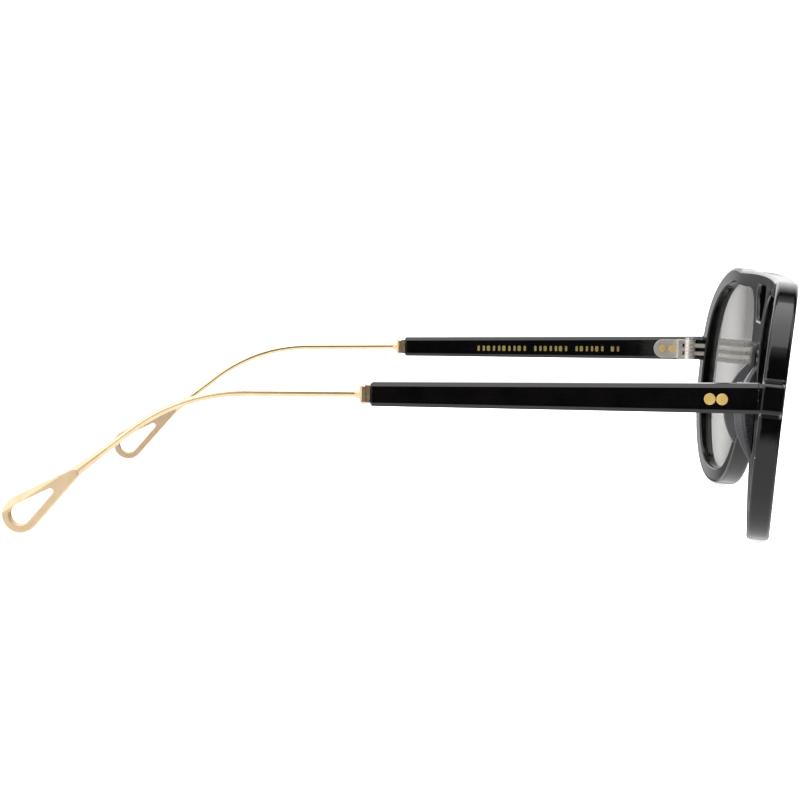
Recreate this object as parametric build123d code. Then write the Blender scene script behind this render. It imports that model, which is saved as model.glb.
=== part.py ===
from build123d import *
import os
from math import asin, copysign, cos, radians, sin, sqrt, tan

# Sunglasses with a black acetate double-bridge front, riveted five-barrel hinges and slim
# acetate temples that end in gold wire tips.  Millimetres.
#
# The wearer looks along -Y and the wearer's left is +X.  The left half is modelled first,
# around the left hinge pin: the work origin lies on the mirror plane, level with the middle
# of both hinges, with y = 0 on the pin axes.  The right half is its mirror image.  At the
# end everything moves so that the glasses stand on z = 0 and their box is centred on y = 0.

# ---- lenses and front -------------------------------------------------------------------
LENS_WIDTH = 55.0          # boxed width of one lens
LENS_HEIGHT = 42.5         # boxed height of one lens
BRIDGE_WIDTH = 16.0        # between the two lens boxes
LENS_THICKNESS = 1.8
LENS_RADIUS = 240.0        # radius of the lens's middle surface
LENS_BULGE = 1.2           # how far the middle of the lens stands ahead of the front's middle
BEVEL_THICKNESS = 0.9      # tongue round the lens edge
BEVEL_DEPTH = 0.6          # how far the tongue reaches into the rim
LENS_FIT = 0.02            # clearance between lens and rim

RIM_SIDE = 4.2             # rim width at the temples and the nose
RIM_HEIGHT = 3.25          # rim width above and below the lens
FRONT_THICKNESS = 4.2
FRONT_RADIUS = 420.0       # wrap of the front, about an upright axis behind it
FRONT_TILT = 4.8           # degrees, top of the front leans forward
FRONT_EDGE = 0.7           # rounding of the front's polished edges
OPENING_EDGE = 0.35        # rounding round the lens openings
HINGE_RISE = 4.45          # hinge middle above the lens middle

BAR_HEIGHT = 2.8           # top bar, measured up and down
BAR_CROWN = 0.45           # the top bar's middle above the tops of the rims
BAR_TUCK = 0.3             # the top bar's ends below the tops of the rims
BAR_BLEND = 2.0            # rounding where the bars meet the rims
BRIDGE_ROOT = 1.05         # how far the lower bridge runs into the rims
BAR_SPACING = 7.15         # opening between the top bar and the lower bridge
BRIDGE_HEIGHT = 5.2        # lower bridge, measured up and down at its middle
BRIDGE_ARCH = 2.4          # how far its lower edge drops towards the rims

# Lens outline on a box of -1..1 each way, from the top towards the temple, then down and round.
EYE_SHAPE = [
    (0.07, 1.0), (0.54, 0.92), (0.89, 0.61), (1.0, 0.12), (0.91, -0.54), (0.62, -0.925),
    (0.2, -1.0), (-0.29, -0.87), (-0.67, -0.46), (-0.91, 0.07), (-1.0, 0.54), (-0.82, 0.895),
    (-0.4, 0.99),
]
EYE_SAMPLES = 40           # points on an outline that is grown from the lens outline

# ---- endpieces --------------------------------------------------------------------------
ENDPIECE_REACH = 2.6       # beyond the widest point of the rim
ENDPIECE_HEIGHT = 5.7
ENDPIECE_FLAT = 0.8        # straight stretch above and below, before it flares into the rim
FLARE_ABOVE = 4.4          # radius of the hollow between endpiece and rim, above
FLARE_BELOW = 2.6          # and below
ENDPIECE_CORNER = 1.0
ENDPIECE_TRIM = 0.05       # depth cut from the back of the front to make the joint face
JOINT_AHEAD = 2.5          # joint face ahead of the hinge pin
JOINT_GAP = 0.12           # between the joint face and the temple

# ---- temples ----------------------------------------------------------------------------
TEMPLE_LENGTH = 145.0      # hinge pin to the end of the tip, by way of the corner of the turn
TEMPLE_ACETATE = 67.6      # from the hinge pin to the acetate's rear end
TEMPLE_THICKNESS = 3.6
TEMPLE_THICKNESS_REAR = 3.3
TEMPLE_HEIGHT = 5.45       # at the joint
TEMPLE_HEIGHT_REAR = 4.4
TEMPLE_CHAMFER = 0.7
TEMPLE_END_CHAMFER = 0.35
TEMPLE_TOE = 2.1           # degrees, temples close in towards the rear
TEMPLE_RISE = 0.15         # middle of the temple above the hinge middle, at the hinge
TEMPLE_DROOP = 0.95        # degrees, temples fall towards the rear
TEMPLE_INSET = 0.25        # outer face of the temple inside the endpiece's outer face

# ---- wire tips --------------------------------------------------------------------------
WIRE_DIAMETER = 1.3
WIRE_SHANK = 18.0          # length of wire held inside the acetate
WIRE_FIT = 0.01            # clearance round the wire in its bore
WIRE_TOE = 2.2             # degrees, further turn inwards of the wire
WIRE_DROOP = 0.4           # degrees, further fall of the wire's straight run
WIRE_DROP = 36.8           # degrees, turn down behind the ear
WIRE_BEND = 36.0           # radius of that turn
WIRE_FALL = 38.6           # from the corner of the turn to the middle of the loop's round end
LOOP_LENGTH = 13.0         # from the root of the loop to the middle of its round end
LOOP_RADIUS = 3.5          # outside of the round end
LOOP_ROOT = 0.95           # half width of the loop at its root
LOOP_TAPER = 8.0           # the wire thickens over this length before the loop
LOOP_HOLE_RADIUS = 2.0
LOOP_HOLE_LENGTH = 7.4     # between the two round ends of the hole
LOOP_HOLE_ROOT = 0.5
LOOP_THICKNESS = 1.9
LOOP_EDGE = 0.25
LOOP_BEVEL = 1.5           # outer bevel of the upper strap, across the face at the round end
LOOP_BEVEL_REACH = 1.5     # and across the thickness

# ---- ferrules ---------------------------------------------------------------------------
FERRULE_NECK = 0.45        # length of the step against the acetate
FERRULE_BODY = 1.5
FERRULE_CONE = 0.9
FERRULE_HEIGHT = 3.8
FERRULE_WIDTH = 2.9
FERRULE_STEP = 0.3         # the neck is smaller than the body by this, all round
FERRULE_CHAMFER = 0.45
FERRULE_LIP = 0.13         # wall round the wire at the cone's small end

# ---- hinges -----------------------------------------------------------------------------
BARREL_RADIUS = 1.4
BARREL_CLEARANCE = 0.2     # between the barrels and the temple's inner face
BARREL_COUNT = 5
BARREL_STACK = 4.5         # height of the five barrels together
BARREL_GAP = 0.05          # between neighbouring barrels
PIN_RADIUS = 0.65
PIN_CLEARANCE = 0.05       # running clearance in the front leaf's barrels
LEAF_THICKNESS = 0.8
LEAF_HEIGHT = 4.3
LEAF_START = 1.7           # leaf's front edge behind the pin
BLOCK_LENGTH = 1.1         # raised block at the leaf's front edge
WEB_HALF = 0.85            # half thickness of the webs between barrels and leaves
FOOT_DEPTH = 0.9           # plate of the front leaf, sunk into the endpiece
FOOT_WIDTH = 3.0
FOOT_COVER = 1.5           # acetate between the joint face and that plate
FOOT_WALL = 0.25           # acetate between that plate and the lens's tongue
SCREW_HEAD_RADIUS = 1.15
SCREW_HEAD_HEIGHT = 0.45
SCREW_TAIL = 0.15          # beyond the lowest barrel
SLOT_WIDTH = 0.3
SLOT_DEPTH = 0.2

# ---- rivets -----------------------------------------------------------------------------
RIVET_FIRST = 4.0          # behind the hinge pin
RIVET_SPACING = 2.2
RIVET_HEAD_RADIUS = 1.05
RIVET_HEAD_HEIGHT = 0.3
RIVET_SHANK_RADIUS = 0.6
RIVET_END_RADIUS = 0.75
RIVET_END_HEIGHT = 0.25
RIVET_ROUNDING = 0.15

# ---- nose pads --------------------------------------------------------------------------
PAD_LENGTH = 26.0
PAD_WIDTH = 4.6
PAD_HEIGHT = 3.5           # furthest reach behind the front
PAD_LEAN = 33.0            # degrees, lower ends spread away from the nose
PAD_SPLAY = 20.0           # degrees, back edges spread away from the nose
PAD_OUT = 3.2              # middle of the pad outside the nasal edge of the lens box
PAD_DROP = 4.0             # middle of the pad below the lens middle
PAD_PEAK = 2.5             # highest point of the pad below its middle
PAD_EDGE = 0.9
PAD_ROOT = 1.0             # its blank starts this far inside the rim, then is cut to the rim's back
PAD_SEAT = 0.01            # glue line

# ---- derived places ---------------------------------------------------------------------
EYE_CENTRE = (BRIDGE_WIDTH + LENS_WIDTH) / 2
RIM_OUT = EYE_CENTRE + LENS_WIDTH / 2 + RIM_SIDE
END_X = RIM_OUT + ENDPIECE_REACH
PIN_X = END_X - TEMPLE_INSET - TEMPLE_THICKNESS - BARREL_CLEARANCE - BARREL_RADIUS
INNER_FACE = BARREL_RADIUS + BARREL_CLEARANCE      # temple's inner face from the pin
MILL = 20.0                                        # half depth of tools that cut right through
NEAR = 0.01                                        # places closer than this are the same


def front_sag(x):
    """How far the wrap carries the front's middle surface back at a distance x."""
    return FRONT_RADIUS - sqrt(FRONT_RADIUS ** 2 - x ** 2)


END_RISE = HINGE_RISE / cos(radians(FRONT_TILT)) - front_sag(PIN_X) * tan(radians(FRONT_TILT))
FRONT_SHIFT = -(JOINT_AHEAD + FRONT_THICKNESS / 2 - ENDPIECE_TRIM + front_sag(END_X))
FRONT_PLACE = Location((0, FRONT_SHIFT + END_RISE * sin(radians(FRONT_TILT)), -HINGE_RISE))
FRONT_PLACE = FRONT_PLACE * Rotation(FRONT_TILT, 0, 0)
TEMPLE_PLACE = Location((PIN_X, 0, 0)) * Rotation(0, 0, TEMPLE_TOE)


def block(x, y, z):
    """Box between two limits along each axis."""
    size = [limits[1] - limits[0] for limits in (x, y, z)]
    middle = [(limits[0] + limits[1]) / 2 for limits in (x, y, z)]
    return Pos(*middle) * Box(*size)


def upright(radius, low, high):
    """Upright cylinder on the work origin."""
    return Pos(0, 0, (low + high) / 2) * Cylinder(radius, high - low)


def through_prism(face):
    """Extrude a face on the front's plane right through the front."""
    return extrude(Pos(0, -MILL, 0) * face, amount=2 * MILL, dir=(0, 1, 0))


# ---- front ------------------------------------------------------------------------------
def eye_prism(side, height):
    """Lens outline grown outwards, extruded right through the front."""
    half_width = LENS_WIDTH / 2
    half_height = LENS_HEIGHT / 2
    corners = [Vector(EYE_CENTRE + s * half_width, 0, h * half_height) for s, h in EYE_SHAPE]
    outline = Edge.make_spline(corners, periodic=True)
    grown = []
    for i in range(EYE_SAMPLES):
        place = outline.position_at(i / EYE_SAMPLES)
        along = outline.tangent_at(i / EYE_SAMPLES)
        grown.append(Vector(place.X - along.Z * side, 0, place.Z + along.X * height))
    return through_prism(Face(Wire([Edge.make_spline(grown, periodic=True)])))


def curved_slab(thickness):
    """The bent sheet that the front is cut from."""
    behind = Pos(0, FRONT_RADIUS, 0)
    tall = 2 * LENS_HEIGHT
    sheet = Cylinder(FRONT_RADIUS + thickness / 2, tall) - Cylinder(FRONT_RADIUS - thickness / 2, tall)
    return (behind * sheet) & block((-2 * END_X, 2 * END_X), (-MILL, 2 * MILL), (-tall, tall))


def prism_between(lower, upper):
    """Extrude the area between two edges that run the same way."""
    left = Edge.make_line(lower @ 0, upper @ 0)
    right = Edge.make_line(lower @ 1, upper @ 1)
    return through_prism(Face(Wire([lower, right, upper, left])))


def bars_prism():
    """Top bar and lower bridge over the whole width between the rims."""
    rim_top = LENS_HEIGHT / 2 + RIM_HEIGHT
    crown = rim_top + BAR_CROWN
    ends = rim_top - BAR_TUCK
    top_edge = Edge.make_three_point_arc((-EYE_CENTRE, 0, ends), (0, 0, crown), (EYE_CENTRE, 0, ends))
    under = Edge.make_line((-EYE_CENTRE, 0, crown - BAR_HEIGHT), (EYE_CENTRE, 0, crown - BAR_HEIGHT))
    bar = prism_between(under, top_edge)
    bridge_top = crown - BAR_HEIGHT - BAR_SPACING
    low = bridge_top - BRIDGE_HEIGHT
    end = low - BRIDGE_ARCH
    span = BRIDGE_WIDTH / 2 + BRIDGE_ROOT
    arch = Edge.make_three_point_arc((-span, 0, end), (0, 0, low), (span, 0, end))
    saddle = Edge.make_line((-span, 0, bridge_top), (span, 0, bridge_top))
    return bar + prism_between(arch, saddle)


def endpiece_prism():
    """Left endpiece, flared into the rim by a hollow above and one below."""
    top = END_RISE + ENDPIECE_HEIGHT / 2
    bottom = END_RISE - ENDPIECE_HEIGHT / 2
    inside = EYE_CENTRE + LENS_WIDTH / 2 + BEVEL_DEPTH
    flares = []
    for edge_height, radius in ((top, FLARE_ABOVE), (bottom, -FLARE_BELOW)):
        centre = Pos(END_X - ENDPIECE_FLAT, 0, edge_height + radius)
        hollow = centre * Rotation(90, 0, 0) * Cylinder(abs(radius), 2 * MILL)
        limits = sorted((edge_height, edge_height + radius))
        flares.append(hollow + block((END_X - ENDPIECE_FLAT, 2 * END_X), (-MILL, MILL), limits))
    body = block((inside, END_X), (-MILL, MILL), (bottom - FLARE_BELOW, top + FLARE_ABOVE))
    return body - flares


def through_edges(shape, keep):
    """Straight edges that run right through the front, at places that keep(x, z) accepts."""
    found = []
    for edge in shape.edges():
        start = edge @ 0
        end = edge @ 1
        straight = abs(start.X - end.X) + abs(start.Z - end.Z) < NEAR
        if straight and keep(abs(start.X), start.Z):
            found.append(edge)
    return found


def face_edges(shape, keep):
    """Edges on the front's two curved faces, at places that keep(x, z) accepts."""
    found = []
    for edge in shape.edges():
        off = [abs(abs(front_depth(edge @ t)) - FRONT_THICKNESS / 2) for t in (0, 0.5, 1)]
        middle = edge @ 0.5
        if max(off) < NEAR and keep(abs(middle.X), middle.Z):
            found.append(edge)
    return found


def front_depth(place):
    """Distance of a place from the front's middle surface, positive ahead of it."""
    return sqrt(place.X ** 2 + (FRONT_RADIUS - place.Y) ** 2) - FRONT_RADIUS


def in_opening(x, z):
    """True on the edge of a lens opening, which is nearer its middle than the rim's outside."""
    side = (x - EYE_CENTRE) / (LENS_WIDTH / 2 + RIM_SIDE / 2)
    height = z / (LENS_HEIGHT / 2 + RIM_HEIGHT / 2)
    nearest = min(EYE_SHAPE, key=lambda point: (point[0] - side) ** 2 + (point[1] - height) ** 2)
    return side ** 2 + height ** 2 < nearest[0] ** 2 + nearest[1] ** 2


def lens_solid(side, height, thickness):
    """Left lens blank of one thickness, cut to an outline grown from the lens outline."""
    turn = asin(EYE_CENTRE / FRONT_RADIUS)
    reach = FRONT_RADIUS + LENS_BULGE - LENS_RADIUS
    centre = Pos(reach * sin(turn), FRONT_RADIUS - reach * cos(turn), 0)
    shell = Sphere(LENS_RADIUS + thickness / 2) - Sphere(LENS_RADIUS - thickness / 2)
    near = block((0, 2 * EYE_CENTRE), (-MILL, MILL), (-LENS_HEIGHT, LENS_HEIGHT))
    return (centre * shell) & near & eye_prism(side, height)


def make_lens():
    """Left lens with the tongue round its edge, in the front's plane."""
    pane = lens_solid(-LENS_FIT, -LENS_FIT, LENS_THICKNESS)
    return pane + lens_solid(BEVEL_DEPTH, BEVEL_DEPTH, BEVEL_THICKNESS)


def front_leaf():
    """Left front leaf of the hinge: two barrels, their webs and the plate sunk in the endpiece."""
    foot_face = -(JOINT_AHEAD + FOOT_COVER)
    foot_half = BARREL_STACK / 2
    foot_x = EYE_CENTRE + LENS_WIDTH / 2 + BEVEL_DEPTH + LENS_FIT + FOOT_WALL - PIN_X
    foot_y = (foot_face - FOOT_DEPTH, foot_face)
    leaf = block((foot_x, foot_x + FOOT_WIDTH), foot_y, (-foot_half, foot_half))
    for low, high in barrel_levels(1):
        leaf += upright(BARREL_RADIUS, low, high)
        leaf += block((-WEB_HALF, WEB_HALF), (foot_face, 0), (low, high))
    return leaf


def barrel_levels(first):
    """Lower and upper ends of every other barrel, counted from the bottom."""
    height = (BARREL_STACK - (BARREL_COUNT - 1) * BARREL_GAP) / BARREL_COUNT
    pitch = height + BARREL_GAP
    lows = [-BARREL_STACK / 2 + i * pitch for i in range(first, BARREL_COUNT, 2)]
    return [(low, low + height) for low in lows]


def make_front_leaf():
    """Left front leaf with the running bore for the screw."""
    bore = upright(PIN_RADIUS + PIN_CLEARANCE, -BARREL_STACK, BARREL_STACK)
    return Pos(PIN_X, 0, 0) * (front_leaf() - bore)


def make_heel():
    """Squared end of the endpiece that the temple closes against, in the temple's frame."""
    section = temple_section(-JOINT_AHEAD, TEMPLE_THICKNESS, TEMPLE_HEIGHT)
    return extrude(section, amount=FRONT_THICKNESS / 2, dir=(0, -1, 0))


def make_front():
    """The whole front in one piece of acetate, in its place."""
    half = eye_prism(RIM_SIDE, RIM_HEIGHT) + endpiece_prism()
    prism = half + mirror(half, about=Plane.YZ) + bars_prism()
    prism = fillet(through_edges(prism, lambda x, z: x > END_X - NEAR), ENDPIECE_CORNER)
    inner = EYE_CENTRE - LENS_WIDTH / 4
    corners = through_edges(prism, lambda x, z: x < inner and z < LENS_HEIGHT / 2 + RIM_HEIGHT / 2)
    prism = fillet(corners, BAR_BLEND)
    sheet = prism & curved_slab(FRONT_THICKNESS)
    sheet = fillet(face_edges(sheet, lambda x, z: True), FRONT_EDGE)
    opening = eye_prism(0, 0)
    groove = lens_solid(BEVEL_DEPTH + LENS_FIT, BEVEL_DEPTH + LENS_FIT, BEVEL_THICKNESS)
    for tool in (opening, groove):
        sheet = sheet - tool - mirror(tool, about=Plane.YZ)
    sheet = fillet(face_edges(sheet, in_opening), OPENING_EDGE)
    heel = TEMPLE_PLACE * make_heel()
    front = FRONT_PLACE * sheet + heel + mirror(heel, about=Plane.YZ)
    depth = FRONT_THICKNESS * 2
    tall = 2 * TEMPLE_HEIGHT
    behind = block((-2 * BARREL_RADIUS, tall), (-JOINT_AHEAD, depth), (-tall, tall))
    for tool in (TEMPLE_PLACE * behind, Pos(PIN_X, 0, 0) * front_leaf()):
        front = front - tool - mirror(tool, about=Plane.YZ)
    return front


def make_pad():
    """Left nose pad, seated on the back of the rim, in the front's plane."""
    reach = PAD_HEIGHT + FRONT_THICKNESS / 2
    half = PAD_LENGTH / 2
    root = FRONT_THICKNESS / 2 - PAD_ROOT
    crest = Edge.make_spline([Vector(0, root, half), Vector(0, reach, PAD_PEAK), Vector(0, root, -half)])
    base = Edge.make_line(crest @ 0, crest @ 1)
    side_view = extrude(Pos(-MILL, 0, 0) * Face(Wire([crest, base])), amount=2 * MILL, dir=(1, 0, 0))
    bulge = PAD_WIDTH / 2
    outer = Edge.make_three_point_arc((0, 0, -half), (bulge, 0, 0), (0, 0, half))
    nasal = Edge.make_three_point_arc((0, 0, half), (-bulge, 0, 0), (0, 0, -half))
    leaf = extrude(Face(Wire([outer, nasal])), amount=MILL, dir=(0, 1, 0))
    pad = leaf & side_view
    crest_edges = [edge for edge in pad.edges() if (edge @ 0.5).Y > reach / 2]
    pad = fillet(crest_edges, PAD_EDGE)
    lean = Rotation(0, -PAD_LEAN, 0) * Rotation(0, 0, -PAD_SPLAY)
    middle = BRIDGE_WIDTH / 2 + PAD_OUT
    pad = Pos(middle, front_sag(middle), -PAD_DROP) * lean * pad
    seat_radius = FRONT_RADIUS - FRONT_THICKNESS / 2 - PAD_SEAT
    return pad & Pos(0, FRONT_RADIUS, 0) * Cylinder(seat_radius, 4 * LENS_HEIGHT)


# ---- temples ----------------------------------------------------------------------------
def temple_level(y):
    """Height of the temple's middle line above the hinge middle."""
    return TEMPLE_RISE - y * tan(radians(TEMPLE_DROOP))


def temple_section(y, thickness, height):
    """Chamfered rectangle across the temple."""
    middle = INNER_FACE + thickness / 2
    plane = Plane(origin=(middle, y, temple_level(y)), x_dir=(1, 0, 0), z_dir=(0, -1, 0))
    outline = Rectangle(thickness, height)
    return plane * chamfer(outline.vertices(), TEMPLE_CHAMFER)


def rear_middle():
    """Middle of the temple's rear end."""
    return (INNER_FACE + TEMPLE_THICKNESS_REAR / 2, TEMPLE_ACETATE, temple_level(TEMPLE_ACETATE))


def make_temple():
    """Left acetate temple with its rivet holes and the blind bore for the wire."""
    front_end = temple_section(JOINT_GAP - JOINT_AHEAD, TEMPLE_THICKNESS, TEMPLE_HEIGHT)
    rear_end = temple_section(TEMPLE_ACETATE, TEMPLE_THICKNESS_REAR, TEMPLE_HEIGHT_REAR)
    bar = loft([front_end, rear_end], ruled=True)
    rear_face = bar.faces().sort_by(Axis.Y)[-1]
    bar = chamfer(rear_face.edges(), TEMPLE_END_CHAMFER)
    for place in rivet_places():
        bar -= place * Cylinder(RIVET_SHANK_RADIUS, 4 * TEMPLE_THICKNESS)
    shank = Cylinder(WIRE_DIAMETER / 2 + WIRE_FIT, WIRE_SHANK)
    return bar - wire_place() * Pos(0, -WIRE_SHANK / 2, 0) * Rotation(90, 0, 0) * shank


def rivet_places():
    """The two rivet axes, upright in their own frame, outwards through the temple."""
    lows = [RIVET_FIRST, RIVET_FIRST + RIVET_SPACING]
    return [Pos(INNER_FACE, y, 0) * Rotation(0, 90, 0) for y in lows]


def make_rivet(place):
    """One rivet: domed head outside, shank, and the formed end on the leaf inside."""
    thickness = TEMPLE_THICKNESS
    head = Pos(0, 0, thickness + RIVET_HEAD_HEIGHT / 2) * Cylinder(RIVET_HEAD_RADIUS, RIVET_HEAD_HEIGHT)
    head = fillet(head.edges().sort_by(Axis.Z)[-1], RIVET_ROUNDING)
    low = -LEAF_THICKNESS - RIVET_END_HEIGHT / 2
    end = Pos(0, 0, low) * Cylinder(RIVET_END_RADIUS, RIVET_END_HEIGHT)
    end = fillet(end.edges().sort_by(Axis.Z)[0], RIVET_ROUNDING)
    length = thickness + LEAF_THICKNESS
    shank = Pos(0, 0, length / 2 - LEAF_THICKNESS) * Cylinder(RIVET_SHANK_RADIUS, length)
    return place * (head + shank + end)


def make_temple_leaf():
    """Left temple leaf: rounded plate, raised block, three barrels, rivet holes and pin bore."""
    plate_x = (INNER_FACE - LEAF_THICKNESS, INNER_FACE)
    half = LEAF_HEIGHT / 2
    round_y = RIVET_FIRST + RIVET_SPACING
    leaf = block(plate_x, (LEAF_START, round_y), (-half, half))
    round_end = Pos(INNER_FACE - LEAF_THICKNESS / 2, round_y, 0) * Rotation(0, 90, 0)
    leaf += round_end * Cylinder(half, LEAF_THICKNESS)
    tall = BARREL_STACK / 2
    leaf += block((-WEB_HALF, INNER_FACE), (LEAF_START, LEAF_START + BLOCK_LENGTH), (-tall, tall))
    for low, high in barrel_levels(0):
        leaf += upright(BARREL_RADIUS, low, high)
        leaf += block((-WEB_HALF, WEB_HALF), (0, LEAF_START), (low, high))
    leaf -= upright(PIN_RADIUS, -BARREL_STACK, BARREL_STACK)
    for place in rivet_places():
        leaf -= place * Cylinder(RIVET_SHANK_RADIUS, 4 * LEAF_THICKNESS)
    return leaf


def make_screw():
    """Hinge screw: shank through the five barrels and a slotted head on the top one."""
    top = BARREL_STACK / 2
    screw = upright(PIN_RADIUS, -top - SCREW_TAIL, top)
    screw += upright(SCREW_HEAD_RADIUS, top, top + SCREW_HEAD_HEIGHT)
    slot_x = (-SCREW_HEAD_RADIUS, SCREW_HEAD_RADIUS)
    high = top + SCREW_HEAD_HEIGHT
    slot_z = (high - SLOT_DEPTH, high + SLOT_DEPTH)
    return screw - block(slot_x, (-SLOT_WIDTH / 2, SLOT_WIDTH / 2), slot_z)


# ---- wire tips --------------------------------------------------------------------------
def wire_place():
    """Frame at the temple's rear end, its Y along the wire."""
    return Location(rear_middle()) * Rotation(-(TEMPLE_DROOP + WIRE_DROOP), 0, WIRE_TOE)


def make_ferrule():
    """Chamfered ferrule between acetate and wire, with a stepped neck and a cone."""
    bore = Rotation(90, 0, 0) * Cylinder(WIRE_DIAMETER / 2 + WIRE_FIT, 4 * FERRULE_HEIGHT)
    half_z = FERRULE_HEIGHT / 2
    half_x = FERRULE_WIDTH / 2
    body_y = (FERRULE_NECK, FERRULE_NECK + FERRULE_BODY)
    body = block((-half_x, half_x), body_y, (-half_z, half_z))
    body = chamfer(body.edges(), FERRULE_CHAMFER)
    step = FERRULE_STEP
    neck = block((-half_x + step, half_x - step), (0, body_y[0] + step), (-half_z + step, half_z - step))
    cone_middle = body_y[1] + FERRULE_CONE / 2
    base_radius = half_x - FERRULE_CHAMFER
    cone = Cone(base_radius, WIRE_DIAMETER / 2 + FERRULE_LIP, FERRULE_CONE)
    solid = body + neck + Pos(0, cone_middle, 0) * Rotation(-90, 0, 0) * cone
    return Location(rear_middle()) * solid - wire_place() * bore


def make_wire_tip():
    """Gold wire: shank in the temple, straight run, turn down behind the ear, flat loop."""
    corner = Vector(0, TEMPLE_LENGTH - TEMPLE_ACETATE - WIRE_FALL - LOOP_RADIUS, 0)
    down = Vector(0, cos(radians(WIRE_DROP)), -sin(radians(WIRE_DROP)))
    round_middle = corner + down * WIRE_FALL
    root = round_middle - down * LOOP_LENGTH
    thin_end = root - down * LOOP_TAPER
    path = FilletPolyline((0, -WIRE_SHANK, 0), tuple(corner), tuple(thin_end), radius=WIRE_BEND)
    section = Plane(origin=path @ 0, z_dir=path % 0) * Circle(WIRE_DIAMETER / 2)
    taper = Cone(WIRE_DIAMETER / 2, LOOP_ROOT, LOOP_TAPER)
    taper_place = Plane(origin=(thin_end + root) / 2, z_dir=down).location
    wire = sweep(section, path=path) + taper_place * taper
    half = LOOP_THICKNESS / 2
    loop_place = Pos(*round_middle) * Rotation(-WIRE_DROP, 0, 0) * Rotation(0, 90, 0)
    outline = Circle(LOOP_RADIUS) + Pos(0, -LOOP_LENGTH) * Circle(LOOP_ROOT)
    loop = extrude(make_hull(outline.edges()), amount=half, both=True)
    hole = Circle(LOOP_HOLE_RADIUS) + Pos(0, -LOOP_HOLE_LENGTH) * Circle(LOOP_HOLE_ROOT)
    loop -= extrude(make_hull(hole.edges()), amount=LOOP_THICKNESS, both=True)
    flat_edges = [edge for edge in loop.edges() if abs(abs((edge @ 0.5).Z) - half) < NEAR]
    loop = fillet(flat_edges, LOOP_EDGE) - strap_bevel()
    return wire_place() * (wire + loop_place * loop)


def strap_bevel():
    """Tool that bevels the upper strap on its outward side, fading out at the loop's root."""
    half = LOOP_THICKNESS / 2
    slope = asin((LOOP_RADIUS - LOOP_ROOT) / LOOP_LENGTH)
    out = Vector(-cos(slope), -sin(slope), 0)
    on_face = out * (LOOP_RADIUS - LOOP_BEVEL) + Vector(0, 0, half)
    on_rim = out * LOOP_RADIUS + Vector(0, 0, half - LOOP_BEVEL_REACH)
    at_root = Vector(0, -LOOP_LENGTH, half) + out * LOOP_ROOT
    away = (on_rim - on_face).cross(at_root - on_face)
    tool = Box(MILL, MILL, MILL, align=(Align.CENTER, Align.CENTER, Align.MIN))
    return Plane(origin=on_face, x_dir=at_root - on_face, z_dir=away * copysign(1, away.Z)) * tool


# ---- assembly ---------------------------------------------------------------------------
def left_pieces():
    """Every piece of the left side, in its place round the work origin."""
    front_rivet, rear_rivet = [make_rivet(place) for place in rivet_places()]
    fixed = {
        "lens": FRONT_PLACE * make_lens(),
        "nose_pad": FRONT_PLACE * make_pad(),
        "hinge_front_leaf": make_front_leaf(),
    }
    moving = {
        "hinge_temple_leaf": make_temple_leaf(),
        "hinge_screw": make_screw(),
        "front_rivet": front_rivet,
        "rear_rivet": rear_rivet,
        "temple": make_temple(),
        "ferrule": make_ferrule(),
        "wire_tip": make_wire_tip(),
    }
    placed = {name: TEMPLE_PLACE * piece for name, piece in moving.items()}
    return {**fixed, **placed}


def all_pieces():
    """Every piece of the glasses, round the work origin."""
    pieces = {"front": make_front()}
    for name, piece in left_pieces().items():
        pieces["left_" + name] = piece
        pieces["right_" + name] = mirror(piece, about=Plane.YZ)
    return pieces


def standing(pieces):
    """Move that stands the glasses on z = 0 with their box centred on y = 0."""
    boxes = [piece.bounding_box() for piece in pieces.values()]
    front_end = min(box.min.Y for box in boxes)
    rear_end = max(box.max.Y for box in boxes)
    floor = min(box.min.Z for box in boxes)
    return Pos(0, -(front_end + rear_end) / 2, -floor)


def main():
    """Write one STEP file for each piece."""
    pieces = all_pieces()
    place = standing(pieces)
    os.makedirs("parts", exist_ok=True)
    for name, piece in pieces.items():
        export_step(place * piece, "parts/" + name + ".step")
    pin = Vector(PIN_X, place.position.Y, place.position.Z)
    print(f"left hinge pin at {pin.X:.4f} {pin.Y:.4f} {pin.Z:.4f}")


if __name__ == "__main__":
    main()
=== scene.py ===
"""Black acetate sunglasses with gold wire tips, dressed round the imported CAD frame.

The glasses stand on z = 0.  The wearer looks along -Y and the wearer's left is +X.  Metres.
"""

import logging
import math
from dataclasses import dataclass
from enum import Enum

import bmesh
import bpy
from mathutils import Matrix, Vector


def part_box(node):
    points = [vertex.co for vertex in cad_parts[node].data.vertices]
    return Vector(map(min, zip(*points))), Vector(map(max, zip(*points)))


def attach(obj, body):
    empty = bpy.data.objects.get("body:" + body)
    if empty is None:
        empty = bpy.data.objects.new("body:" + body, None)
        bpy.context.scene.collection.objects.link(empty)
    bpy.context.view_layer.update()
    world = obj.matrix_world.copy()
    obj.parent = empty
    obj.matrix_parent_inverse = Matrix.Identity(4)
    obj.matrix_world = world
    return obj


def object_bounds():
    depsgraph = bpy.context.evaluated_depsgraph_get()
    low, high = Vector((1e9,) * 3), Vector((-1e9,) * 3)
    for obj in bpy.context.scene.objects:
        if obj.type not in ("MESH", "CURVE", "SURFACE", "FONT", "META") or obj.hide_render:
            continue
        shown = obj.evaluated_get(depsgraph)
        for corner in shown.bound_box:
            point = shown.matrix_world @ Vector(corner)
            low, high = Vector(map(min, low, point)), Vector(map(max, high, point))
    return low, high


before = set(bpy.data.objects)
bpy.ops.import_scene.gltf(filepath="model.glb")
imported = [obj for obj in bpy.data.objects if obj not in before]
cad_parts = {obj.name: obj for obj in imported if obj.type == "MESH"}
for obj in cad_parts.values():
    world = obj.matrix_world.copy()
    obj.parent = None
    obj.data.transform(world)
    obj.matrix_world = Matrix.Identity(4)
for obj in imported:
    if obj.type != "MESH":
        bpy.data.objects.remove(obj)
cad_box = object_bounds()

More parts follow.
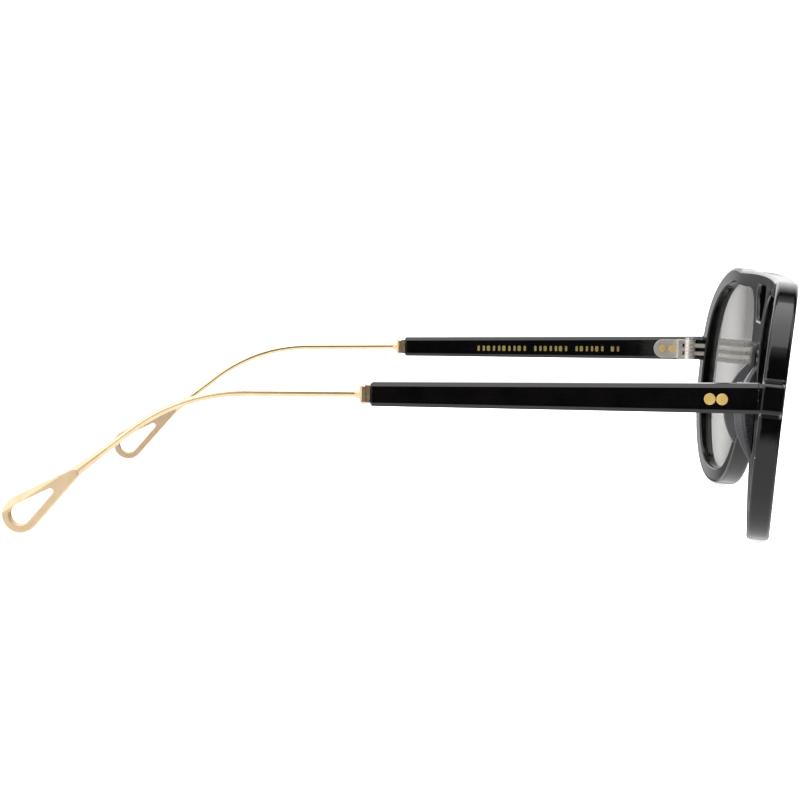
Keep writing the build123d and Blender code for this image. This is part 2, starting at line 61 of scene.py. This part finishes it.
MM = 0.001
LOG = logging.getLogger("sunglasses")
NOISE_SPAN = (0.3, 0.7)         # values between which nearly all of a noise lies
WELD_REACH = 0.001 * MM         # vertices closer than this are joined before rounding
SHARP_ANGLE = math.radians(30)  # edges sharper than this are rounded

Triple = tuple[float, float, float]


class Side(Enum):
    """The two sides of the wearer."""

    LEFT = "left"
    RIGHT = "right"

    def node(self, part: str) -> str:
        """Name of this side's CAD node for a part."""
        return f"{self.value}_{part}"

    @property
    def temple_body(self) -> str:
        """CAD body that folds on this side."""
        return f"{self.value}_temple"

    @property
    def outward(self) -> Vector:
        """Direction from the mirror plane towards this side."""
        return Vector((1 if self is Side.LEFT else -1, 0, 0))


# ---- finishes ---------------------------------------------------------------------------
class Recipe:
    """Node tree of one material, built round a Principled shader."""

    def __init__(self, name: str) -> None:
        """Starts an empty material.

        Args:
            name: name of the material.
        """
        self.material = bpy.data.materials.new(name)
        self.material.use_nodes = True
        self.tree = self.material.node_tree
        self.shader = self.tree.nodes["Principled BSDF"]
        self.place = self.add("ShaderNodeTexCoord").outputs["Object"]

    def add(self, kind: str) -> bpy.types.Node:
        """Adds a node of the type that Blender calls kind."""
        return self.tree.nodes.new(kind)

    def join(self, source: bpy.types.NodeSocket, target: bpy.types.NodeSocket) -> None:
        """Links an output to an input."""
        self.tree.links.new(source, target)

    def constants(self, **values: float) -> None:
        """Sets plain numbers on the shader's own sockets, with _ for each space."""
        for name, value in values.items():
            self.shader.inputs[name.replace("_", " ")].default_value = value

    def box_place(self, axis: str) -> bpy.types.NodeSocket:
        """Place along one axis of the piece's box, from 0 to 1."""
        axes = self.add("ShaderNodeSeparateXYZ")
        self.join(self.add("ShaderNodeTexCoord").outputs["Generated"], axes.inputs["Vector"])
        return axes.outputs[axis]

    def noise(self, scale: float, stretch: Triple = (1, 1, 1),
              detail: float = 4.0) -> bpy.types.NodeSocket:
        """Noise over the object.

        Args:
            scale: features in a metre.
            stretch: factor on the coordinates, for grain that runs one way.
            detail: octaves of finer noise.

        Returns:
            The noise's value.
        """
        mapping = self.add("ShaderNodeMapping")
        mapping.inputs["Scale"].default_value = stretch
        self.join(self.place, mapping.inputs["Vector"])
        noise = self.add("ShaderNodeTexNoise")
        noise.inputs["Scale"].default_value = scale
        noise.inputs["Detail"].default_value = detail
        self.join(mapping.outputs["Vector"], noise.inputs["Vector"])
        return noise.outputs["Fac"]

    def spread(self, value: bpy.types.NodeSocket, span: tuple[float, float],
               low: bpy.types.NodeSocket | float, high: float) -> bpy.types.NodeSocket:
        """Passes from one number to another over a span of a value.

        Args:
            value: what decides.
            span: values where the passage starts and ends.
            low: number at its start, linked or plain.
            high: number at its end.

        Returns:
            The number.
        """
        node = self.add("ShaderNodeMapRange")
        node.inputs["From Min"].default_value = span[0]
        node.inputs["From Max"].default_value = span[1]
        node.inputs["To Max"].default_value = high
        if isinstance(low, bpy.types.NodeSocket):
            self.join(low, node.inputs["To Min"])
        else:
            node.inputs["To Min"].default_value = low
        self.join(value, node.inputs["Value"])
        return node.outputs["Result"]

    def tint(self, value: bpy.types.NodeSocket, low: Triple, high: Triple,
             span: tuple[float, float] = NOISE_SPAN) -> None:
        """Colours the surface between two tones.

        Args:
            value: what decides the tone.
            low: colour at the span's start.
            high: colour at the span's end.
            span: values where the two tones are reached.
        """
        ramp = self.add("ShaderNodeValToRGB")
        for stop, place, colour in zip(ramp.color_ramp.elements, span, (low, high)):
            stop.position = place
            stop.color = (*colour, 1)
        self.join(value, ramp.inputs["Fac"])
        self.join(ramp.outputs["Color"], self.shader.inputs["Base Color"])

    def roughen(self, value: bpy.types.NodeSocket, smooth: float, rough: float) -> None:
        """Spreads the roughness between two values over a noise."""
        self.join(self.spread(value, NOISE_SPAN, smooth, rough), self.shader.inputs["Roughness"])

    def bump(self, *layers: tuple[bpy.types.NodeSocket, float]) -> None:
        """Relief, from coarse to fine.

        Args:
            layers: pairs of a height value and its depth in metres.
        """
        normal = None
        for value, depth in layers:
            bump = self.add("ShaderNodeBump")
            bump.inputs["Strength"].default_value = 1.0
            bump.inputs["Distance"].default_value = depth
            self.join(value, bump.inputs["Height"])
            if normal is not None:
                self.join(normal, bump.inputs["Normal"])
            normal = bump.outputs["Normal"]
        self.join(normal, self.shader.inputs["Normal"])


@dataclass(frozen=True)
class Acetate:
    """Black cellulose acetate, from a wheel polish or from a matt tumbling."""

    name: str
    deep: Triple = (0.0006, 0.0006, 0.0008)
    cloud: Triple = (0.0022, 0.0018, 0.0018)
    cloud_scale: float = 190
    buff_scale: float = 2600
    buff_run: Triple = (1, 0.3, 1)
    wave_scale: float = 150
    scratch_scale: float = 5200
    scratch_run: Triple = (0.25, 0.06, 1)
    smooth: float = 0.045
    rough: float = 0.1
    waviness: float = 0.004 * MM
    hairlines: float = 0.0003 * MM
    index: float = 1.49

    def material(self) -> bpy.types.Material:
        """Pigment clouds, a buffed surface with faint waves, and hairlines."""
        recipe = Recipe(self.name)
        recipe.tint(recipe.noise(self.cloud_scale, detail=6), self.deep, self.cloud)
        recipe.roughen(recipe.noise(self.buff_scale, self.buff_run), self.smooth, self.rough)
        waves = recipe.noise(self.wave_scale, detail=1)
        scratches = recipe.noise(self.scratch_scale, self.scratch_run)
        recipe.bump((waves, self.waviness), (scratches, self.hairlines))
        recipe.constants(IOR=self.index)
        return recipe.material


@dataclass(frozen=True)
class TintedGlass:
    """Neutral grey lens, a little denser at the top."""

    name: str
    light: Triple = (0.20, 0.196, 0.188)
    dark: Triple = (0.17, 0.167, 0.16)
    fade: tuple[float, float] = (0.2, 0.9)
    smooth: float = 0.008
    rough: float = 0.03
    smear_scale: float = 700
    wave_scale: float = 90
    waviness: float = 0.0008 * MM
    index: float = 1.5

    def material(self) -> bpy.types.Material:
        """Clear tint that fades downwards, with a faint smear on the surface."""
        recipe = Recipe(self.name)
        recipe.tint(recipe.box_place("Z"), self.light, self.dark, self.fade)
        recipe.roughen(recipe.noise(self.smear_scale, detail=6), self.smooth, self.rough)
        recipe.bump((recipe.noise(self.wave_scale, detail=1), self.waviness))
        recipe.constants(IOR=self.index, Transmission_Weight=1.0)
        return recipe.material


@dataclass(frozen=True)
class Metal:
    """Plated or bare metal with the grain of its finishing."""

    name: str
    tone: Triple
    shade: Triple
    smooth: float
    rough: float
    grain: float
    grain_run: Triple = (1, 1, 1)
    relief: float = 0.0004 * MM
    metallic: float = 1.0
    tone_scale: float = 420
    dent_scale: float = 500

    def material(self) -> bpy.types.Material:
        """Two close tones, grain in the roughness, and shallow relief."""
        recipe = Recipe(self.name)
        recipe.tint(recipe.noise(self.tone_scale, detail=5), self.shade, self.tone)
        grain = recipe.noise(self.grain, self.grain_run)
        self.polish(recipe, grain)
        dents = recipe.noise(self.dent_scale, detail=2)
        recipe.bump((dents, self.relief), (grain, self.relief / 2))
        recipe.constants(Metallic=self.metallic)
        return recipe.material

    def polish(self, recipe: Recipe, grain: bpy.types.NodeSocket) -> None:
        """Lets the grain decide the roughness."""
        recipe.roughen(grain, self.smooth, self.rough)


@dataclass(frozen=True)
class BrushedEnd(Metal):
    """Plated wire, polished along its run and brushed at its flat rear end."""

    brushed: float = 0.48
    passage: tuple[float, float] = (0.76, 0.84)

    def polish(self, recipe: Recipe, grain: bpy.types.NodeSocket) -> None:
        """Lets the roughness rise towards the rear end."""
        polished = recipe.spread(grain, NOISE_SPAN, self.smooth, self.rough)
        roughness = recipe.spread(recipe.box_place("Y"), self.passage, polished, self.brushed)
        recipe.join(roughness, recipe.shader.inputs["Roughness"])


POLISHED = Acetate("polished_black_acetate")
TUMBLED = Acetate("tumbled_black_acetate", deep=(0.010, 0.010, 0.013), cloud=(0.022, 0.022, 0.028),
                  smooth=0.16, rough=0.3, waviness=0.01 * MM, hairlines=0.0012 * MM)
GREY_GLASS = TintedGlass("grey_tinted_lens")
WIRE_GOLD = BrushedEnd("pale_gold_plate", (0.93, 0.72, 0.48), (0.86, 0.64, 0.40), 0.1, 0.2, 3800,
                       (1, 0.06, 1), metallic=0.9)
RIVET_GOLD = Metal("rivet_gold_plate", (0.72, 0.52, 0.18), (0.62, 0.43, 0.13), 0.4, 0.5, 4200,
                   metallic=0.6)
NICKEL = Metal("satin_nickel", (0.82, 0.78, 0.71), (0.68, 0.63, 0.56), 0.26, 0.42, 6000, (1, 0.15, 1),
               metallic=0.8)
STEEL = Metal("bright_screw_steel", (0.74, 0.73, 0.70), (0.6, 0.59, 0.56), 0.15, 0.28, 5000)
FOIL = Metal("pressed_gold_foil", (0.25, 0.19, 0.05), (0.17, 0.13, 0.035), 0.5, 0.65, 7000, metallic=0.3)


class Dresser:
    """Makes each finish once and puts it on pieces."""

    def __init__(self) -> None:
        """Starts with no finish made."""
        self.made: dict[str, bpy.types.Material] = {}

    def put(self, obj: bpy.types.Object, finish: Acetate | TintedGlass | Metal) -> None:
        """Gives an object one finish.

        Args:
            obj: the piece.
            finish: its finish.
        """
        if finish.name not in self.made:
            self.made[finish.name] = finish.material()
        obj.data.materials.clear()
        obj.data.materials.append(self.made[finish.name])

    def node(self, name: str, finish: Acetate | TintedGlass | Metal, edge: float = 0,
             rings: int = 2) -> None:
        """Gives a CAD node one finish and, where it has a rounded edge, that edge.

        Args:
            name: the node's name.
            finish: its finish.
            edge: size of the rounding of its edges, or 0 for none.
            rings: faces across that rounding.
        """
        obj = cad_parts[name]
        self.put(obj, finish)
        if edge:
            soften(obj, edge, rings)
        LOG.info("%s: %s", name, finish.name)


def soften(obj: bpy.types.Object, width: float, rings: int = 2) -> None:
    """Rounds the sharp edges of a piece with modifiers.

    Args:
        obj: the piece.
        width: size of the rounding.
        rings: faces across the rounding.
    """
    weld = obj.modifiers.new("weld", "WELD")
    weld.merge_threshold = WELD_REACH
    bevel = obj.modifiers.new("edge", "BEVEL")
    bevel.width = width
    bevel.segments = rings
    bevel.limit_method = "ANGLE"
    bevel.angle_limit = SHARP_ANGLE
    bevel.harden_normals = True


# ---- sub-assemblies ---------------------------------------------------------------------
@dataclass
class Front:
    """Acetate front with its two lenses and nose pads."""

    dresser: Dresser

    def dress(self) -> None:
        """Polishes the front, tints the lenses and frosts the pads."""
        self.dresser.node("front", POLISHED)
        for side in Side:
            self.dresser.node(side.node("lens"), GREY_GLASS)
            self.dresser.node(side.node("nose_pad"), TUMBLED)


@dataclass
class Hinge:
    """Five-barrel hinge with its screw and the two rivets through the temple."""

    dresser: Dresser
    side: Side
    leaf_edge: float = 0.06 * MM
    screw_edge: float = 0.04 * MM

    def dress(self) -> None:
        """Nickel leaves, a steel screw and gold rivets."""
        for part in ("hinge_front_leaf", "hinge_temple_leaf"):
            self.dresser.node(self.side.node(part), NICKEL, self.leaf_edge)
        self.dresser.node(self.side.node("hinge_screw"), STEEL, self.screw_edge)
        for part in ("front_rivet", "rear_rivet"):
            self.dresser.node(self.side.node(part), RIVET_GOLD)


@dataclass
class InnerFace:
    """Flat inner face of a temple, read from the CAD node."""

    side: Side
    flatness: float = 0.99
    end_reach: float = 1.0 * MM

    def __post_init__(self) -> None:
        """Finds the face's ends, its run and its normal."""
        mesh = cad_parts[self.side.node("temple")].data
        inward = -self.side.outward
        faces = [face for face in mesh.polygons if face.normal.dot(inward) > self.flatness]
        widest = max(faces, key=lambda face: face.area)
        self.normal = widest.normal.normalized()
        on_face = mesh.vertices[widest.vertices[0]].co
        corners = [mesh.vertices[i].co for face in faces for i in face.vertices]
        front_y = min(corner.y for corner in corners)
        rear_y = max(corner.y for corner in corners)
        ends = [self.middle([corner for corner in corners if abs(corner.y - y) < self.end_reach])
                for y in (front_y, rear_y)]
        ends = [end - self.normal * (end - on_face).dot(self.normal) for end in ends]
        self.start = ends[0]
        self.run = (ends[1] - ends[0]).normalized()
        self.rise = self.run.cross(self.normal).normalized()
        if self.rise.z < 0:
            self.rise = -self.rise

    @staticmethod
    def middle(corners: list[Vector]) -> Vector:
        """Middle of the box round some points."""
        low = Vector([min(values) for values in zip(*corners)])
        high = Vector([max(values) for values in zip(*corners)])
        return (low + high) / 2

    def place(self, along: float, up: float, proud: float) -> Vector:
        """Point over the face.

        Args:
            along: distance from the temple's front end.
            up: distance above the middle line.
            proud: distance off the face.

        Returns:
            The point in the row frame.
        """
        return self.start + self.run * along + self.rise * up + self.normal * proud


@dataclass
class FoilMarks:
    """Row of plain pressed dashes inside a temple, in four groups."""

    dresser: Dresser
    side: Side
    start: float = 18.9 * MM
    height: float = 1.25 * MM
    drop: float = 0.25 * MM
    pitch: float = 1.22 * MM
    width: float = 0.62 * MM
    rhythm: tuple[float, ...] = (0.9, 1.25, 0.9)
    group_gap: float = 1.3 * MM
    thickness: float = 0.02 * MM
    corner: float = 0.15 * MM
    groups: tuple[int, ...] = (2, 6, 7, 10)

    def build(self) -> bpy.types.Object:
        """Builds every dash into one mesh that rides on the temple.

        Returns:
            The new piece.
        """
        face = InnerFace(self.side)
        shape = bmesh.new()
        along = self.start
        for count in self.groups:
            for index in range(count):
                width = self.width * self.rhythm[index % len(self.rhythm)]
                self.dash(shape, face, along, width)
                along += self.pitch
            along += self.group_gap
        mesh = bpy.data.meshes.new(self.side.node("foil_dashes"))
        shape.to_mesh(mesh)
        shape.free()
        piece = bpy.data.objects.new(mesh.name, mesh)
        bpy.context.scene.collection.objects.link(piece)
        self.dresser.put(piece, FOIL)
        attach(piece, self.side.temple_body)
        LOG.info("%s: %d dashes", piece.name, sum(self.groups))
        return piece

    def dash(self, shape: bmesh.types.BMesh, face: InnerFace, along: float, width: float) -> None:
        """Adds one dash with cut corners, closed and thin.

        Args:
            shape: mesh to add it to.
            face: temple face it lies on.
            along: its start from the temple's front end.
            width: its width along the temple.
        """
        half = self.height / 2
        cut = self.corner
        outline = [(0, half - cut), (cut, half), (width - cut, half), (width, half - cut),
                   (width, cut - half), (width - cut, -half), (cut, -half), (0, cut - half)]
        rings = []
        for proud in (0.0, self.thickness):
            points = [face.place(along + x, z - self.drop, proud) for x, z in outline]
            rings.append([shape.verts.new(point) for point in points])
        base, top = rings
        faces = [shape.faces.new(top), shape.faces.new(list(reversed(base)))]
        for i in range(len(outline)):
            j = (i + 1) % len(outline)
            faces.append(shape.faces.new((base[i], base[j], top[j], top[i])))
        bmesh.ops.recalc_face_normals(shape, faces=faces)


@dataclass
class Temple:
    """Slim acetate temple with its ferrule and wire tip."""

    dresser: Dresser
    side: Side
    acetate_edge: float = 0.12 * MM
    acetate_rings: int = 3
    ferrule_edge: float = 0.13 * MM

    def dress(self) -> None:
        """Polishes the acetate and plates the ferrule and the wire."""
        self.dresser.node(self.side.node("temple"), POLISHED, self.acetate_edge, self.acetate_rings)
        self.dresser.node(self.side.node("ferrule"), WIRE_GOLD, self.ferrule_edge)
        self.dresser.node(self.side.node("wire_tip"), WIRE_GOLD)


# ---- studio -----------------------------------------------------------------------------
@dataclass
class Softbox:
    """One large square light that looks at the glasses."""

    name: str
    place: Vector
    size: float
    power: float

    def build(self, target: Vector) -> None:
        """Makes the light and turns it to a point.

        Args:
            target: point that it faces.
        """
        lamp = bpy.data.lights.new(self.name, "AREA")
        lamp.shape = "SQUARE"
        lamp.size = self.size
        lamp.energy = self.power
        light = bpy.data.objects.new(self.name, lamp)
        light.location = self.place
        light.rotation_euler = (target - self.place).to_track_quat("-Z", "Y").to_euler()
        bpy.context.scene.collection.objects.link(light)


@dataclass(frozen=True)
class Passage:
    """Smooth change of the surround's brightness along one axis."""

    axis: str
    start: float
    end: float
    start_light: float
    end_light: float

    def link(self, tree: bpy.types.NodeTree, axes: bpy.types.Node) -> bpy.types.NodeSocket:
        """Adds the passage to the surround.

        Args:
            tree: the surround's node tree.
            axes: node that gives the direction's three parts.

        Returns:
            The brightness.
        """
        node = tree.nodes.new("ShaderNodeMapRange")
        node.interpolation_type = "SMOOTHSTEP"
        tree.links.new(axes.outputs[self.axis], node.inputs["Value"])
        node.inputs["From Min"].default_value = self.start
        node.inputs["From Max"].default_value = self.end
        node.inputs["To Min"].default_value = self.start_light
        node.inputs["To Max"].default_value = self.end_light
        return node.outputs["Result"]


BELOW = Passage("Z", -0.40, -0.2, 1.1, 0.0)
ABOVE = Passage("Z", 0.6, 0.97, 0.0, 1.35)
BEYOND = Passage("X", 0.75, 0.95, 0.0, 1.3)
RAISED = Passage("Z", -0.02, 0.06, 0.1, 1.0)
BEHIND = Passage("Y", 0.2, 0.38, 0.0, 1.0)
SOFTBOXES = (Softbox("ceiling_softbox", Vector((0, 0, 1.1)), 1.5, 9),
             Softbox("side_softbox", Vector((-0.7, 0.9, 0.8)), 0.7, 2.2),
             Softbox("front_softbox", Vector((0.3, -1.0, 0.6)), 0.6, 1.5))


@dataclass
class Studio:
    """Pale floor, white surround with dark cards at eye level, soft lights and the camera."""

    floor_reach: float = 4.0
    floor_squares: int = 8
    floor_drop: float = 0.05 * MM
    floor_glow: float = 0.8
    floor_tones: tuple[Triple, Triple] = ((0.93, 0.93, 0.93), (0.96, 0.96, 0.96))
    floor_roughness: tuple[float, float] = (0.75, 0.85)
    floor_cloud_scale: float = 8
    floor_grain_scale: float = 40
    white: float = 1.15
    card: float = 0.03
    camera_x: float = -0.4823
    camera_behind_rivet: float = 0.03576
    camera_above_rivet: float = 0.03616
    heading: float = math.radians(2.762)
    pitch: float = math.radians(5.219)
    roll: float = math.radians(1.199)
    lens: float = 103.3
    sensor: float = 36.0
    nearest: float = 10 * MM

    def build(self) -> None:
        """Sets up everything round the glasses."""
        self.floor()
        self.surround()
        middle = (cad_box[0] + cad_box[1]) / 2
        for softbox in SOFTBOXES:
            softbox.build(middle)
        self.camera()

    def floor(self) -> None:
        """Pale matt floor, left out of mirror reflections."""
        shape = bmesh.new()
        bmesh.ops.create_grid(shape, x_segments=self.floor_squares, y_segments=self.floor_squares,
                              size=self.floor_reach)
        mesh = bpy.data.meshes.new("studio_floor")
        shape.to_mesh(mesh)
        shape.free()
        floor = bpy.data.objects.new("studio_floor", mesh)
        floor.location.z = -self.floor_drop
        bpy.context.scene.collection.objects.link(floor)
        recipe = Recipe("pale_floor")
        recipe.tint(recipe.noise(self.floor_cloud_scale), *self.floor_tones)
        recipe.roughen(recipe.noise(self.floor_grain_scale), *self.floor_roughness)
        recipe.constants(Emission_Strength=self.floor_glow)
        mesh.materials.append(recipe.material)
        floor.visible_glossy = False

    def surround(self) -> None:
        """White surround; mirror reflections also see dark cards near eye level."""
        world = bpy.data.worlds.new("white_studio")
        bpy.context.scene.world = world
        world.use_nodes = True
        tree = world.node_tree
        nodes = tree.nodes
        background = nodes["Background"]
        background.inputs["Color"].default_value = (1, 1, 1, 1)
        axes = nodes.new("ShaderNodeSeparateXYZ")
        tree.links.new(nodes.new("ShaderNodeTexCoord").outputs["Generated"], axes.inputs["Vector"])
        beyond = self.maths(tree, "MULTIPLY", BEYOND.link(tree, axes), RAISED.link(tree, axes))
        brightest = self.card
        for light in (BELOW.link(tree, axes), ABOVE.link(tree, axes), beyond, BEHIND.link(tree, axes)):
            brightest = self.maths(tree, "MAXIMUM", light, brightest)
        mix = nodes.new("ShaderNodeMix")
        mix.inputs["A"].default_value = self.white
        tree.links.new(nodes.new("ShaderNodeLightPath").outputs["Is Glossy Ray"], mix.inputs["Factor"])
        tree.links.new(brightest, mix.inputs["B"])
        tree.links.new(mix.outputs["Result"], background.inputs["Strength"])

    @staticmethod
    def maths(tree: bpy.types.NodeTree, operation: str, first: bpy.types.NodeSocket,
              second: bpy.types.NodeSocket | float) -> bpy.types.NodeSocket:
        """One step of arithmetic on brightness.

        Args:
            tree: the surround's node tree.
            operation: Blender's name for the step.
            first: first value.
            second: second value, linked or plain.

        Returns:
            The result.
        """
        node = tree.nodes.new("ShaderNodeMath")
        node.operation = operation
        tree.links.new(first, node.inputs[0])
        if isinstance(second, float):
            node.inputs[1].default_value = second
        else:
            tree.links.new(second, node.inputs[1])
        return node.outputs["Value"]

    def camera(self) -> None:
        """Camera on the wearer's right, level with the temples and a little above them."""
        low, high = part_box(Side.RIGHT.node("rear_rivet"))
        rivet = (low + high) / 2
        data = bpy.data.cameras.new("camera")
        data.lens = self.lens
        data.sensor_width = self.sensor
        data.clip_start = self.nearest
        camera = bpy.data.objects.new("camera", data)
        ahead = Vector((math.cos(self.heading) * math.cos(self.pitch),
                        math.sin(self.heading) * math.cos(self.pitch), -math.sin(self.pitch)))
        level = ahead.cross(Vector((0, 0, 1))).normalized()
        upright = level.cross(ahead)
        right = level * math.cos(self.roll) + upright * math.sin(self.roll)
        up = right.cross(ahead)
        turn = Matrix((right, up, -ahead)).transposed().to_4x4()
        place = Vector((self.camera_x, rivet.y + self.camera_behind_rivet,
                        rivet.z + self.camera_above_rivet))
        camera.matrix_world = Matrix.Translation(place) @ turn
        bpy.context.scene.collection.objects.link(camera)
        bpy.context.scene.camera = camera


def main() -> None:
    """Builds and dresses everything."""
    logging.basicConfig(level=logging.INFO, format="%(message)s")
    dresser = Dresser()
    Front(dresser).dress()
    for side in Side:
        Hinge(dresser, side).dress()
        Temple(dresser, side).dress()
    FoilMarks(dresser, Side.LEFT).build()
    Studio().build()
    bpy.context.scene.view_settings.view_transform = "Standard"


if __name__ == "__main__":
    main()
